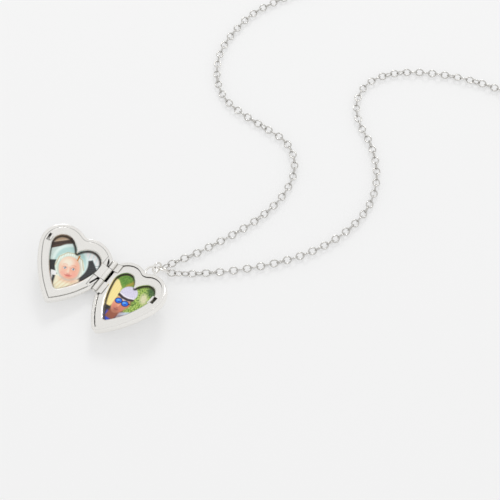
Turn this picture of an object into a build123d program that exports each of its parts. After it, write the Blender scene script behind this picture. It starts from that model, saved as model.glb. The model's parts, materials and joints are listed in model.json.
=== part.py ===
from build123d import *
import math
import os

# An open heart locket on a cable chain, lying on a table.
# Millimetres, +Z up. The hinge axis runs along +Y above the origin, the back half lies on +X and the
# cover on -X, and both rise from the hinge like an open book. The hearts' tips point towards -Y.

# ---------------------------------------------------------------- driving sizes: the heart
LOBE_X = 3.39              # from the heart's middle line to the centre of each lobe
LOBE_R = 4.90              # lobe radius, at the joint between lip and frame
TIP_Y = 12.63              # from the lobe centres down to the tip
SIDE_ANGLE = 20.7          # where the straight-looking side leaves the lobe, below horizontal
NOTCH_R = 2.16
TIP_R = 0.18

WINDOW_LOBE_X = 3.53
WINDOW_LOBE_R = 2.76
WINDOW_TIP_Y = 10.21
WINDOW_SIDE_ANGLE = 15.6
WINDOW_NOTCH_R = 0.20
WINDOW_TIP_R = 0.90
WINDOW_FLANK_ANGLE = 118.0  # where the lobe flattens towards the notch
WINDOW_FLANK_R = 4.89
WINDOW_Y = 0.17

# ---------------------------------------------------------------- driving sizes: the halves
OPEN_ANGLE = 143.6         # between the two halves at the hinge's stop
LIP_W = 0.80               # rim of the shell, outside the frame
LIP_DROP = 0.03            # rim's height below the closing plane
SHELL_DEPTH = 2.60
SHOULDER_R = 1.30
SHELL_WALL = 0.45
FRAME_T = 0.80
BACK_FRAME_DROP = 0.35     # the back frame is sunk, the cover frame stands proud and nests in it
NEST_GAP = 0.05
FRAME_GAP = 0.05           # dark line between lip and frame
COVER_NEST_W = 0.14        # how far the proud frame stands back from the lip
ROLL_W = 0.45              # the window's edge is rolled over, this wide and this deep
ROLL_H = 0.40
ROLL_STEPS = 4
LIP_EDGE_R = 0.22
FRAME_EDGE_R = 0.10
PRINT_T = 0.25
PRINT_GAP = 0.10
LEDGE_W = 0.60             # ledge under the print, outside the window

# ---------------------------------------------------------------- driving sizes: the hinge
HINGE_INSET = 0.25         # of the hinge line from the lobe's widest point
HINGE_Y = -3.70            # at this height, from the lobe centres
HEART_TURN = -6.57         # between the heart's middle line and the hinge
KNUCKLE_R = 0.70
PIN_R = 0.30
PIN_CLEARANCE = 0.03
PIN_HEAD_R = 0.48
PIN_HEAD_T = 0.18
KNUCKLE_START = -1.60      # near end of the hinge, along +Y
NEAR_KNUCKLE_L = 3.05
CENTRE_KNUCKLE_L = 3.25
FAR_KNUCKLE_L = 2.10
KNUCKLE_GAP = 0.10
SWING_GAP = 0.15           # round the other half's knuckles
LEAF_T = 0.25
LEAF_REACH = 2.20
LEAF_EDGE_GAP = 0.15
CENTRE_PLANE_GAP = 0.06    # each half stays this far from the plane between them
CLEAR_SLOT_W = 0.45        # slot through a frame, beside the other half's knuckle
CLEAR_SLOT_LEAN = 20.0     # away from the centre knuckle
CLEAR_SLOT_START = 0.75    # of the slot's edge, from the hinge axis
POCKET_W = 0.50            # pocket at the near end of the barrel, along the hinge
POCKET_FROM = 0.60         # from the hinge axis
POCKET_TO = 1.80
POCKET_DEPTH = 0.90

# ---------------------------------------------------------------- driving sizes: the catch
CATCH_INSET = 1.39         # of the catch's middle from the lobe's widest point
CATCH_Y = 0.20
SLOT_W = 1.10
SLOT_L = 1.80
RECESS_W = 0.75            # outside the tongue, which is bent up out of it
RECESS_L = 1.90
TONGUE_T = 0.30
TONGUE_L = 1.30
TONGUE_H = 0.70
HOOK_R = 0.14
KEEPER_T = 0.20
KEEPER_L = 2.20
KEEPER_REACH = 1.45        # from the slot's middle into the window
KEEPER_TAIL = 0.85

# ---------------------------------------------------------------- driving sizes: rings and chain
RING_WIRE_R = 0.25
BAIL_R = 1.40              # to the middle of the wire
BAIL_DROP = 1.00           # below the closing plane
RING_PLAY = 0.04           # between two rings that hang in each other
LINK_R = 1.25
LINK_DROP_ANGLE = 60.0     # link ring below the bail's own plane
JUMP_R = 1.60
JUMP_DROP_ANGLE = 51.0
JUMP_HEADING = 56.5        # from +X towards +Y

CHAIN_D = 2.0
CHAIN_Z = CHAIN_D / 2

# ---------------------------------------------------------------- driving sizes: the clasp
CLASP_Z = 1.40
CLASP_T = 1.30
CLASP_NOSE_R = 2.50
CLASP_NOSE_X = 1.70
CLASP_TAIL_R = 1.45
CLASP_TAIL_X = -2.40
JAW_R = 1.60
JAW_WALL = 0.90
EYE_R = 1.20
EYE_BORE_R = 0.62
EYE_X = -4.60
EYE_T = 0.90
CLASP_EDGE_R = 0.35
GATE_REACH = 1.20          # from the jaw's middle to the gate's closed end
MOUTH_REACH = 0.56         # from the jaw's middle back to the mouth's other side
LEVER_T = 0.70
LEVER_SIDE_GAP = 0.08
LEVER_TIP_GAP = 0.10       # all round the tip's arc, as it swings about the rivet
LEVER_JAW_GAP = 0.05
LEVER_TAIL = 0.88          # behind the rivet
LEVER_HEEL = 0.35          # below the rivet
LEVER_ROOM = 1.15          # slot below the rivet, for the lever's swing
LEVER_TAIL_ROOM = 1.10     # slot behind the rivet
RIVET_R = 0.35
RIVET_CLEARANCE = 0.04
RIVET_X = -1.55
RIVET_Y = 0.95
THUMB_R = 0.55
THUMB_BACK = 0.50          # behind the rivet
THUMB_RISE = 0.50          # above the clasp's tail
CLASP_RING_R = 1.20
END_RING_R = 1.35
END_RING_PLAY = 0.36       # so that the nose's corners clear the ring's curve
RING_LEAN = 30.0           # the clasp's rings lean this far from upright
SPRING_WIRE_R = 0.09
SPRING_R = 0.34
SPRING_L = 0.90
SPRING_TURNS = 4
SPRING_BACK = 0.35         # behind the tail's centre
SPRING_SIDE_ROOM = 0.20
SPRING_END_ROOM = 0.15

# The chain's two strands: points chosen along each one, from the jump ring to the clasp.
LEFT_STRAND = [
    (9.6, 12.8), (11.0, 15.4), (13.6, 19.4), (16.4, 25.0), (19.3, 31.2), (21.6, 38.0), (22.6, 45.6),
    (21.0, 53.2), (15.6, 58.6), (8.2, 59.1), (0.6, 59.4), (-6.6, 61.0), (-12.2, 66.6), (-15.2, 73.6),
    (-15.5, 80.8), (-14.9, 87.6), (-11.9, 94.4), (-7.8, 101.6), (-2.2, 109.6), (5.0, 117.4),
    (13.6, 124.4), (23.4, 130.0), (34.2, 134.2), (45.6, 136.6), (57.0, 136.9),
]
RIGHT_STRAND = [
    (11.6, 12.2), (14.4, 13.7), (18.9, 17.0), (24.2, 21.3), (29.6, 26.6), (34.7, 32.6), (38.8, 39.6),
    (41.2, 47.2), (41.5, 54.8), (38.8, 62.4), (33.2, 69.2), (26.2, 73.4), (22.0, 79.6), (22.3, 86.6),
    (27.4, 92.8), (34.6, 97.0), (42.6, 100.2), (51.0, 101.9), (59.6, 102.6), (68.4, 104.2),
    (76.6, 107.8), (83.4, 113.4), (86.6, 121.0), (84.6, 128.6), (78.2, 133.4), (69.2, 135.3),
]

# ---------------------------------------------------------------- worked out from the above
TILT = (180 - OPEN_ANGLE) / 2
HINGE_X = HINGE_INSET - LOBE_X - LOBE_R
CATCH_X = LOBE_X + LOBE_R - CATCH_INSET
FRAME_BOTTOM = -(BACK_FRAME_DROP + FRAME_T)
PRINT_BOTTOM = FRAME_BOTTOM - PRINT_T
COVER_FRAME_TOP = BACK_FRAME_DROP - NEST_GAP
NEAR_Y = KNUCKLE_START
CENTRE_Y = NEAR_Y + NEAR_KNUCKLE_L + KNUCKLE_GAP
FAR_Y = CENTRE_Y + CENTRE_KNUCKLE_L + KNUCKLE_GAP
HINGE_END = FAR_Y + FAR_KNUCKLE_L
ARC_SHARE = 0.45           # of the shorter run, taken up by each of the chain's arcs
BIG = 60.0                 # larger than the locket


def toward(centre, radius, point):
    """The point on a circle that lies from its centre towards another point."""
    step = Vector(*point) - Vector(*centre)
    return Vector(*centre) + step.normalized() * radius


def arc_between(start, end, centre, radius):
    middle = (Vector(*start) + Vector(*end)) * 0.5
    return ThreePointArc(start, toward(centre, radius, middle), end)


def heart(lobe_x, lobe_r, tip_y, side_angle, notch_r, tip_r, grow=0.0, flank=None):
    """A heart's face: two lobes, long side arcs, a rounded notch and tip. grow offsets its outline."""
    angle = math.radians(side_angle)
    out = Vector(math.cos(angle), -math.sin(angle))
    q = Vector(lobe_x, tip_y)
    along = q.dot(out)
    side_r = (q.dot(q) + 2 * lobe_r * along + lobe_r ** 2) / (2 * (along + lobe_r))
    lobe = Vector(lobe_x, 0)
    side = lobe + out * (lobe_r - side_r)
    top, top_r = lobe, lobe_r
    if flank:
        flank_angle = math.radians(flank[0])
        top_r = flank[1]
        top = lobe + Vector(math.cos(flank_angle), math.sin(flank_angle)) * (lobe_r - top_r)
    notch_r = max(notch_r - grow, 0.05)
    tip_r = max(tip_r + grow, 0.05)
    top_r, lobe_r, side_r = top_r + grow, lobe_r + grow, side_r + grow
    notch = Vector(0, top.Y + math.sqrt((top_r + notch_r) ** 2 - top.X ** 2))
    tip = Vector(0, side.Y - math.sqrt((side_r - tip_r) ** 2 - side.X ** 2))
    notch_end = toward(top, top_r, notch)
    side_start = lobe + out * lobe_r
    side_end = toward(side, side_r, tip)
    half = []
    lobe_start = notch_end
    if flank:
        lobe_start = lobe + Vector(math.cos(flank_angle), math.sin(flank_angle)) * lobe_r
        half.append(arc_between(notch_end, lobe_start, top, top_r))
    half.append(arc_between(lobe_start, side_start, lobe, lobe_r))
    half.append(arc_between(side_start, side_end, side, side_r))
    mirrored = [edge.mirror(Plane.YZ) for edge in half]
    notch_arc = ThreePointArc(notch_end, (0, notch.Y - notch_r), (-notch_end.X, notch_end.Y))
    tip_arc = ThreePointArc(side_end, (0, tip.Y - tip_r), (-side_end.X, side_end.Y))
    return make_face([notch_arc, tip_arc] + half + mirrored)


def outline(grow=0.0):
    return heart(LOBE_X, LOBE_R, TIP_Y, SIDE_ANGLE, NOTCH_R, TIP_R, grow)


def window(grow=0.0):
    face = heart(WINDOW_LOBE_X, WINDOW_LOBE_R, WINDOW_TIP_Y, WINDOW_SIDE_ANGLE, WINDOW_NOTCH_R,
                 WINDOW_TIP_R, grow, flank=(WINDOW_FLANK_ANGLE, WINDOW_FLANK_R))
    return Pos(0, WINDOW_Y, 0) * face


def slab(face, bottom, top):
    return extrude(Pos(0, 0, bottom) * face, top - bottom, dir=(0, 0, 1))


def block(x0, x1, y0, y1, z0, z1):
    return Pos((x0 + x1) / 2, (y0 + y1) / 2, (z0 + z1) / 2) * Box(x1 - x0, y1 - y0, z1 - z0)


def rod(radius, y0, y1):
    """A cylinder along the hinge."""
    return Pos(0, (y0 + y1) / 2, 0) * Rot(90, 0, 0) * Cylinder(radius, y1 - y0)


# Each half is drawn flat: z = 0 is the closing plane, and the hinge lies along +Y at x = 0.
to_hinge = Rot(0, 0, HEART_TURN) * Pos(-HINGE_X, -HINGE_Y, 0)


def open_back(shape):
    return Pos(0, 0, HINGE_Z) * Rot(0, -TILT, 0) * shape


def open_cover(shape):
    return Pos(0, 0, HINGE_Z) * Rot(0, TILT, 0) * mirror(shape, about=Plane.YZ)


def shell_blank():
    body = slab(outline(LIP_W), -SHELL_DEPTH, -LIP_DROP)
    body = fillet(body.edges().group_by(Axis.Z)[0], SHOULDER_R)
    body = fillet(body.edges().group_by(Axis.Z)[-1], LIP_EDGE_R)
    body -= slab(outline(), PRINT_BOTTOM, 0)
    body -= slab(window(LEDGE_W), -SHELL_DEPTH + SHELL_WALL, PRINT_BOTTOM)
    return to_hinge * body


blank = shell_blank()
# The hinge stands so high that the shells' rounded shoulders touch the table.
HINGE_Z = -(Rot(0, -TILT, 0) * blank).bounding_box().min.Z
print("hinge height", round(HINGE_Z, 3))


def own_side(shape, side):
    """Trim a half to its own side of the plane between the two open halves."""
    return shape - Pos(side * (CENTRE_PLANE_GAP - BIG / 2), 0, 0) * Box(BIG, 2 * BIG, BIG)


def knuckle_room(own, others):
    """What a half's rim gives up to the barrel: its own knuckles seat in it, the others clear it."""
    room = [rod(KNUCKLE_R, y0, y1) for y0, y1 in own]
    room += [rod(KNUCKLE_R + SWING_GAP, y0 - KNUCKLE_GAP, y1 + KNUCKLE_GAP) for y0, y1 in others]
    return room


near_span = (NEAR_Y, NEAR_Y + NEAR_KNUCKLE_L)
centre_span = (CENTRE_Y, CENTRE_Y + CENTRE_KNUCKLE_L)
far_span = (FAR_Y, HINGE_END)


def clear_slot(y0, y1):
    """A slot right through a frame, from the centre knuckle's end of another knuckle outwards."""
    way = math.copysign(1, y1 - y0)
    cut = block(0, CLEAR_SLOT_W, min(0, y1 - y0), max(0, y1 - y0), FRAME_BOTTOM, BIG)
    return Pos(CLEAR_SLOT_START, y0, 0) * Rot(0, 0, -way * CLEAR_SLOT_LEAN) * cut


def end_pocket(y_end):
    """A pocket in the rim, at the near end of the barrel."""
    return block(POCKET_FROM, POCKET_TO, y_end - POCKET_W, y_end, -POCKET_DEPTH, BIG)


def soft_slab(face, bottom, top):
    """A slab whose top edge is rounded off."""
    body = slab(face, bottom, top)
    return fillet(body.edges().group_by(Axis.Z)[-1], FRAME_EDGE_R)


def window_cut(top):
    """The opening for the print: upright walls, then an edge rolled outwards in a quarter of an ellipse."""
    sections = []
    for step in range(ROLL_STEPS + 1):
        angle = math.radians(90 * step / ROLL_STEPS)
        height = top - ROLL_H * (1 - math.sin(angle))
        sections.append(Pos(0, 0, height) * window(ROLL_W * (1 - math.cos(angle))))
    return slab(window(), FRAME_BOTTOM, top - ROLL_H) + loft(sections, ruled=True)


def leaf(y0, y1, bottom):
    """A flat plate from a knuckle inwards over the half."""
    return block(0, LEAF_REACH, y0, y1, bottom, bottom + LEAF_T)


def knuckle(y0, y1, bottom, bore):
    body = rod(KNUCKLE_R, y0, y1) + leaf(y0, y1, bottom)
    return body - rod(bore, y0, y1)


parts = {}

# ---------------------------------------------------------------- back half
leaf_bottom = -BACK_FRAME_DROP
back_shell = blank
for room in knuckle_room([near_span, far_span], [centre_span]):
    back_shell -= room
back_shell -= block(0, LEAF_REACH, near_span[0], near_span[1], leaf_bottom, 0)
back_shell -= block(0, LEAF_REACH, far_span[0], far_span[1], leaf_bottom, 0)
back_shell -= block(0, LEAF_REACH, centre_span[0] - KNUCKLE_GAP, centre_span[1] + KNUCKLE_GAP,
                    leaf_bottom, 0)
notch_wall_y = math.sqrt((LOBE_R + NOTCH_R) ** 2 - LOBE_X ** 2) - NOTCH_R + LIP_W
bail_centre_y = notch_wall_y + BAIL_R
bail = to_hinge * Pos(0, bail_centre_y, -BAIL_DROP) * Torus(BAIL_R, RING_WIRE_R)
parts["back_shell"] = own_side(open_back(back_shell - bail), 1)
parts["bail_ring"] = open_back(bail)

slot = block(CATCH_X - SLOT_W / 2, CATCH_X + SLOT_W / 2, CATCH_Y - SLOT_L / 2, CATCH_Y + SLOT_L / 2,
             -SHELL_DEPTH, 0)
keeper = block(CATCH_X - KEEPER_REACH, CATCH_X + KEEPER_TAIL, CATCH_Y - KEEPER_L / 2,
               CATCH_Y + KEEPER_L / 2, FRAME_BOTTOM, FRAME_BOTTOM + KEEPER_T)
keeper = fillet(keeper.edges().filter_by(Axis.Z), KEEPER_T)
back_plate = soft_slab(outline(-FRAME_GAP), FRAME_BOTTOM, -BACK_FRAME_DROP)
back_frame = to_hinge * (back_plate - window_cut(-BACK_FRAME_DROP) - slot - keeper)
for room in knuckle_room([near_span, far_span], [centre_span]):
    back_frame -= room
back_frame -= block(CLEAR_SLOT_START, CLEAR_SLOT_START + CLEAR_SLOT_W, centre_span[0], centre_span[1],
                    FRAME_BOTTOM, BIG)
parts["back_frame"] = own_side(open_back(back_frame), 1)
parts["catch_keeper"] = open_back(to_hinge * (keeper - slot))

print_face = outline(-PRINT_GAP)
back_print = to_hinge * slab(print_face, PRINT_BOTTOM, FRAME_BOTTOM)
parts["back_print"] = own_side(open_back(back_print), 1)

for name, span in (("back_knuckle_near", near_span), ("back_knuckle_far", far_span)):
    parts[name] = open_back(knuckle(span[0], span[1], leaf_bottom, PIN_R))

pin = rod(PIN_R, NEAR_Y, HINGE_END)
pin += rod(PIN_HEAD_R, NEAR_Y - PIN_HEAD_T, NEAR_Y)
pin += rod(PIN_HEAD_R, HINGE_END, HINGE_END + PIN_HEAD_T)
parts["hinge_pin"] = open_back(pin)
pin_room = [rod(PIN_HEAD_R + SWING_GAP, NEAR_Y - PIN_HEAD_T - KNUCKLE_GAP, NEAR_Y),
            rod(PIN_HEAD_R + SWING_GAP, HINGE_END, HINGE_END + PIN_HEAD_T + KNUCKLE_GAP)]
back_pocket = end_pocket(NEAR_Y - PIN_HEAD_T)
for name in ("back_shell", "back_frame"):
    for room in pin_room + [back_pocket]:
        parts[name] -= open_back(room)

# ---------------------------------------------------------------- cover
cover_shell = blank
for room in knuckle_room([centre_span], [near_span, far_span]) + pin_room:
    cover_shell -= room
cover_shell -= block(0, LEAF_REACH, centre_span[0], centre_span[1],
                     COVER_FRAME_TOP - LEAF_T, COVER_FRAME_TOP)
parts["cover_shell"] = own_side(open_cover(cover_shell), -1)

cover_low = slab(outline(-FRAME_GAP), FRAME_BOTTOM, -LIP_DROP)
cover_high = soft_slab(outline(-COVER_NEST_W), -LIP_DROP, COVER_FRAME_TOP)
cover_frame = cover_low + cover_high - window_cut(COVER_FRAME_TOP)
tongue_seat = block(CATCH_X - TONGUE_T / 2, CATCH_X + TONGUE_T / 2, CATCH_Y - TONGUE_L / 2,
                    CATCH_Y + TONGUE_L / 2, FRAME_BOTTOM, COVER_FRAME_TOP + TONGUE_H)
recess = block(CATCH_X + TONGUE_T / 2, CATCH_X + TONGUE_T / 2 + RECESS_W, CATCH_Y - RECESS_L / 2,
               CATCH_Y + RECESS_L / 2, FRAME_BOTTOM, BIG)
cover_frame = to_hinge * (cover_frame - tongue_seat - recess)
cover_frame -= clear_slot(near_span[1], near_span[0] + POCKET_W)
cover_frame -= clear_slot(far_span[0], far_span[1])
for room in knuckle_room([centre_span], [near_span, far_span]) + pin_room:
    cover_frame -= room
cover_frame -= block(0, LEAF_REACH, centre_span[0], centre_span[1],
                     COVER_FRAME_TOP - LEAF_T, COVER_FRAME_TOP)
for span in (near_span, far_span):
    cover_frame -= block(-LEAF_REACH, LEAF_REACH + LEAF_EDGE_GAP, span[0] - KNUCKLE_GAP,
                         span[1] + KNUCKLE_GAP, -LIP_DROP, COVER_FRAME_TOP)
parts["cover_frame"] = own_side(open_cover(cover_frame), -1)

cover_print = to_hinge * slab(print_face, PRINT_BOTTOM, FRAME_BOTTOM)
parts["cover_print"] = own_side(open_cover(cover_print), -1)

parts["cover_knuckle"] = open_cover(knuckle(centre_span[0], centre_span[1],
                                            COVER_FRAME_TOP - LEAF_T, PIN_R + PIN_CLEARANCE))

hook_z = COVER_FRAME_TOP + TONGUE_H - HOOK_R
hook = Pos(CATCH_X + TONGUE_T / 2, CATCH_Y, hook_z) * Rot(90, 0, 0) * Cylinder(HOOK_R, TONGUE_L)
parts["catch_tongue"] = open_cover(to_hinge * (tongue_seat + hook))

# ---------------------------------------------------------------- rings at the notch
bail_local = to_hinge * Pos(0, bail_centre_y, -BAIL_DROP)
back_place = Pos(0, 0, HINGE_Z) * Rot(0, -TILT, 0) * bail_local
bail_plane = Plane(back_place)
bail_out, bail_across, bail_up = bail_plane.y_dir, bail_plane.x_dir, bail_plane.z_dir
bail_end = bail_plane.origin + bail_out * BAIL_R
drop = math.radians(LINK_DROP_ANGLE)
link_down = (bail_out * math.cos(drop) - bail_up * math.sin(drop)).normalized()
hang = LINK_R - 2 * RING_WIRE_R - RING_PLAY
link_centre = bail_end + link_down * hang
parts["link_ring"] = Plane(link_centre, x_dir=link_down, z_dir=bail_across) * Torus(LINK_R, RING_WIRE_R)

jump_top = link_centre + link_down * hang
fall = math.radians(JUMP_DROP_ANGLE)
heading = math.radians(JUMP_HEADING)
jump_down = Vector(math.cos(heading) * math.cos(fall), math.sin(heading) * math.cos(fall),
                   -math.sin(fall))
jump_across = (bail_across - jump_down * bail_across.dot(jump_down)).normalized()
jump_centre = jump_top + jump_down * JUMP_R
parts["jump_ring"] = Plane(jump_centre, x_dir=jump_across,
                           z_dir=jump_across.cross(jump_down)) * Torus(JUMP_R, RING_WIRE_R)


# ---------------------------------------------------------------- chain
def strand_path(points):
    """Straight runs joined by arcs as large as the runs allow."""
    spots = [Vector(x, y, CHAIN_Z) for x, y in points]
    radii = []
    for before, here, after in zip(spots, spots[1:], spots[2:]):
        turn = math.radians((here - before).get_angle(after - here))
        shorter = min((here - before).length, (after - here).length)
        radii.append(ARC_SHARE * shorter / math.tan(turn / 2))
    return FilletPolyline(*spots, radius=radii), radii


def strand(name, points):
    path, radii = strand_path(points)
    start = Plane(path @ 0, z_dir=path % 0)
    tube = sweep(start * Circle(CHAIN_D / 2), path=path)
    ideal = math.pi * CHAIN_D ** 2 / 4 * path.length
    print(name, "length", round(path.length, 1), "volume ratio", round(tube.volume / ideal, 4),
          "smallest radius", round(min(radii), 1))
    print("  radii", [round(radius, 1) for radius in radii])
    parts[name] = tube


strand("chain_left", LEFT_STRAND)
strand("chain_right", RIGHT_STRAND)

# ---------------------------------------------------------------- clasp
# Drawn flat with its nose towards +X, then laid between the ends of the two strands.
left_end = Vector(*LEFT_STRAND[-1], CLASP_Z)
right_end = Vector(*RIGHT_STRAND[-1], CLASP_Z)
ring_pull_in = EYE_X - CLASP_RING_R * 2
clasp_dir = (right_end - left_end).normalized()
clasp_plane = Plane(left_end - clasp_dir * ring_pull_in, x_dir=clasp_dir, z_dir=(0, 0, 1))


def plate(face, thickness):
    return extrude(Pos(0, 0, -thickness / 2) * face, thickness, dir=(0, 0, 1))


jaw_x = CLASP_NOSE_X + CLASP_NOSE_R - JAW_WALL - JAW_R
body_face = make_hull([*(Pos(CLASP_TAIL_X, 0) * Circle(CLASP_TAIL_R)).edges(),
                       *(Pos(CLASP_NOSE_X, 0) * Circle(CLASP_NOSE_R)).edges()])
clasp_body = plate(body_face, CLASP_T)
clasp_body = fillet(clasp_body.edges(), CLASP_EDGE_R)
clasp_body += plate(Pos(EYE_X, 0) * Circle(EYE_R) + Pos(EYE_X + EYE_R, 0) * Rectangle(EYE_R * 2, EYE_R),
                    EYE_T)
clasp_body -= Pos(EYE_X, 0, 0) * Cylinder(EYE_BORE_R, CLASP_T)
clasp_body -= Pos(jaw_x, 0, 0) * Cylinder(JAW_R, CLASP_T)
gate_x = jaw_x + GATE_REACH
gate = block(RIVET_X - LEVER_TAIL_ROOM, gate_x, RIVET_Y - LEVER_ROOM, CLASP_NOSE_R * 2,
             -LEVER_T / 2 - LEVER_SIDE_GAP, LEVER_T / 2 + LEVER_SIDE_GAP)
mouth = block(jaw_x - MOUTH_REACH, gate_x, 0, CLASP_NOSE_R * 2, -CLASP_T, CLASP_T)
clasp_body = clasp_body - gate - mouth
rivet = Pos(RIVET_X, RIVET_Y, 0) * Cylinder(RIVET_R, CLASP_T)
clasp_body -= rivet

# The lever is the part of the body's outline above the rivet. Its tip is an arc about the rivet.
lever = plate(body_face, LEVER_T)
lever &= block(RIVET_X - LEVER_TAIL, gate_x, RIVET_Y - LEVER_HEEL, CLASP_NOSE_R * 2, -CLASP_T, CLASP_T)
lever &= Pos(RIVET_X, RIVET_Y, 0) * Cylinder(gate_x - LEVER_TIP_GAP - RIVET_X, CLASP_T)
lever -= Pos(jaw_x, 0, 0) * Cylinder(JAW_R + LEVER_JAW_GAP, CLASP_T)
lever += plate(Pos(RIVET_X - THUMB_BACK, CLASP_TAIL_R + THUMB_RISE) * Circle(THUMB_R), LEVER_T)
lever -= Pos(RIVET_X, RIVET_Y, 0) * Cylinder(RIVET_R + RIVET_CLEARANCE, CLASP_T)

spring_x = CLASP_TAIL_X - SPRING_BACK
spring_room = Cylinder(SPRING_R + SPRING_SIDE_ROOM, SPRING_L + 2 * SPRING_END_ROOM)
clasp_body -= Pos(spring_x, 0, 0) * Rot(90, 0, 0) * spring_room
coil = Helix(SPRING_L / SPRING_TURNS, SPRING_L, SPRING_R)
coil_plane = Plane(coil @ 0, z_dir=coil % 0)
spring = sweep(coil_plane * Circle(SPRING_WIRE_R), path=coil, is_frenet=True)
spring = Pos(spring_x, SPRING_L / 2, 0) * Rot(90, 0, 0) * spring

parts["clasp_body"] = clasp_plane * clasp_body
parts["clasp_lever"] = clasp_plane * lever
parts["clasp_rivet"] = clasp_plane * rivet
parts["clasp_spring"] = clasp_plane * spring


def upright_ring(x, radius):
    ring = Pos(x, 0, 0) * Rot(90 - RING_LEAN, 0, 0) * Torus(radius, RING_WIRE_R)
    return clasp_plane * ring


parts["clasp_ring"] = upright_ring(EYE_X - CLASP_RING_R, CLASP_RING_R)
end_ring_x = jaw_x + JAW_R - RING_WIRE_R - END_RING_PLAY + END_RING_R
parts["end_ring"] = upright_ring(end_ring_x, END_RING_R)

# ---------------------------------------------------------------- write
os.makedirs("parts", exist_ok=True)
for name, shape in parts.items():
    solids = shape.solids()
    node = solids[0] if len(solids) == 1 else Compound(solids)
    export_step(node, f"parts/{name}.step")
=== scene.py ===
import json
import math
import random

import bpy
import numpy as np
from bpy.props import FloatProperty, FloatVectorProperty, IntProperty, PointerProperty
from mathutils import Matrix, Vector
from mathutils.geometry import delaunay_2d_cdt


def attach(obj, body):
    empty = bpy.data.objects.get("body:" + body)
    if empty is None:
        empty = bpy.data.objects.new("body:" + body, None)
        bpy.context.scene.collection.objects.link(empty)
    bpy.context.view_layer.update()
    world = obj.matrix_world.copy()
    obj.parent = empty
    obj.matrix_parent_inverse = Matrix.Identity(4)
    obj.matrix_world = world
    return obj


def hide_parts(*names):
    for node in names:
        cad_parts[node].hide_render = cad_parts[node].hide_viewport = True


bl_info = {
    "name": "Heart locket",
    "version": (1, 0, 0),
    "blender": (4, 5, 0),
    "location": "View3D > Sidebar > Locket",
    "description": "Dresses an open heart locket with its chain, its pictures and polished steel",
    "category": "Add Mesh",
}

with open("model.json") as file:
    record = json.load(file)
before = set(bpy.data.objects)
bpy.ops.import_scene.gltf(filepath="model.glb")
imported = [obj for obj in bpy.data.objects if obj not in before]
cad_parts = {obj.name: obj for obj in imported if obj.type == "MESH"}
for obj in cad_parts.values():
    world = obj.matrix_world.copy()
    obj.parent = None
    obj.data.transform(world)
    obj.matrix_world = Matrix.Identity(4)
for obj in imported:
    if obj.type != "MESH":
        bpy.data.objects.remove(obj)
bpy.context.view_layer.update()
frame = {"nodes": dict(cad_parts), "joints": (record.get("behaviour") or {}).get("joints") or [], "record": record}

MM = 0.001

# The chain's two strands, from the jump ring to the clasp: points chosen along each one, in metres.
LEFT_STRAND = [
    (0.0096, 0.0128, 0.0008), (0.0110, 0.0154, 0.0010), (0.0136, 0.0194, 0.0010),
    (0.0164, 0.0250, 0.0010), (0.0193, 0.0312, 0.0010), (0.0216, 0.0380, 0.0010),
    (0.0226, 0.0456, 0.0010), (0.0210, 0.0532, 0.0010), (0.0156, 0.0586, 0.0010),
    (0.0082, 0.0591, 0.0010), (0.0006, 0.0594, 0.0010), (-0.0066, 0.0610, 0.0010),
    (-0.0122, 0.0666, 0.0010), (-0.0152, 0.0736, 0.0010), (-0.0155, 0.0808, 0.0010),
    (-0.0149, 0.0876, 0.0010), (-0.0119, 0.0944, 0.0010), (-0.0078, 0.1016, 0.0010),
    (-0.0022, 0.1096, 0.0010), (0.0050, 0.1174, 0.0010), (0.0136, 0.1244, 0.0010),
    (0.0234, 0.1300, 0.0010), (0.0342, 0.1342, 0.0010), (0.0456, 0.1366, 0.0010),
    (0.0570, 0.1369, 0.0014),
]
RIGHT_STRAND = [
    (0.0116, 0.0122, 0.0012), (0.0144, 0.0137, 0.0010), (0.0189, 0.0170, 0.0010),
    (0.0242, 0.0213, 0.0010), (0.0296, 0.0266, 0.0010), (0.0347, 0.0326, 0.0010),
    (0.0388, 0.0396, 0.0010), (0.0412, 0.0472, 0.0010), (0.0415, 0.0548, 0.0010),
    (0.0388, 0.0624, 0.0010), (0.0332, 0.0692, 0.0010), (0.0262, 0.0734, 0.0010),
    (0.0220, 0.0796, 0.0010), (0.0223, 0.0866, 0.0010), (0.0274, 0.0928, 0.0010),
    (0.0346, 0.0970, 0.0010), (0.0426, 0.1002, 0.0010), (0.0510, 0.1019, 0.0010),
    (0.0596, 0.1026, 0.0010), (0.0684, 0.1042, 0.0010), (0.0766, 0.1078, 0.0010),
    (0.0834, 0.1134, 0.0010), (0.0866, 0.1210, 0.0010), (0.0846, 0.1286, 0.0010),
    (0.0782, 0.1334, 0.0010), (0.0692, 0.1353, 0.0014),
]
RING_WIRE = 0.5 * MM               # of the rings that the end links hang in
LEFT_FIRST_ROLL = 0.0              # degrees, how the first link stands in its ring
RIGHT_FIRST_ROLL = -40.0
LEFT_SEED, RIGHT_SEED = 11, 23     # of the chance in how the links roll
SETTLE_LINKS = 3.0                 # links that it takes, from an end, to lie loosely
LINKS_FACE = (0.27, -0.40, 0.87)   # towards the camera: every second link is set to face it, open

# Where the two open halves lie. The hinge stands at x = 0, along +Y.
HINGE_HEIGHT = next(joint for joint in frame["joints"] if joint["name"] == "cover_hinge")["pos_m"][2]
BACK_MOUNT = next(mount for mount in frame["record"]["mounts"] if mount["name"] == "back_face")
TILT = math.asin(abs(BACK_MOUNT["axis"][0]))
HEART_TURN = math.radians(-6.57)
HINGE_TO_MIDDLE = 8.04 * MM
HINGE_TO_LOBES = 3.70 * MM

# The window's outline on a half: lobes, long sides that run to the tip, and the arcs of the notch.
LOBE_X = 3.53 * MM
LOBE_R = 2.76 * MM
TIP_DEPTH = 10.21 * MM
NOTCH_R = 4.89 * MM
NOTCH_ANGLE = math.radians(118.0)  # where a lobe passes into the notch
SIDE_ANGLE = math.radians(15.6)    # where it passes into the long side
WINDOW_RAISE = 0.17 * MM
ARC_STEP = 0.12 * MM

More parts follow.
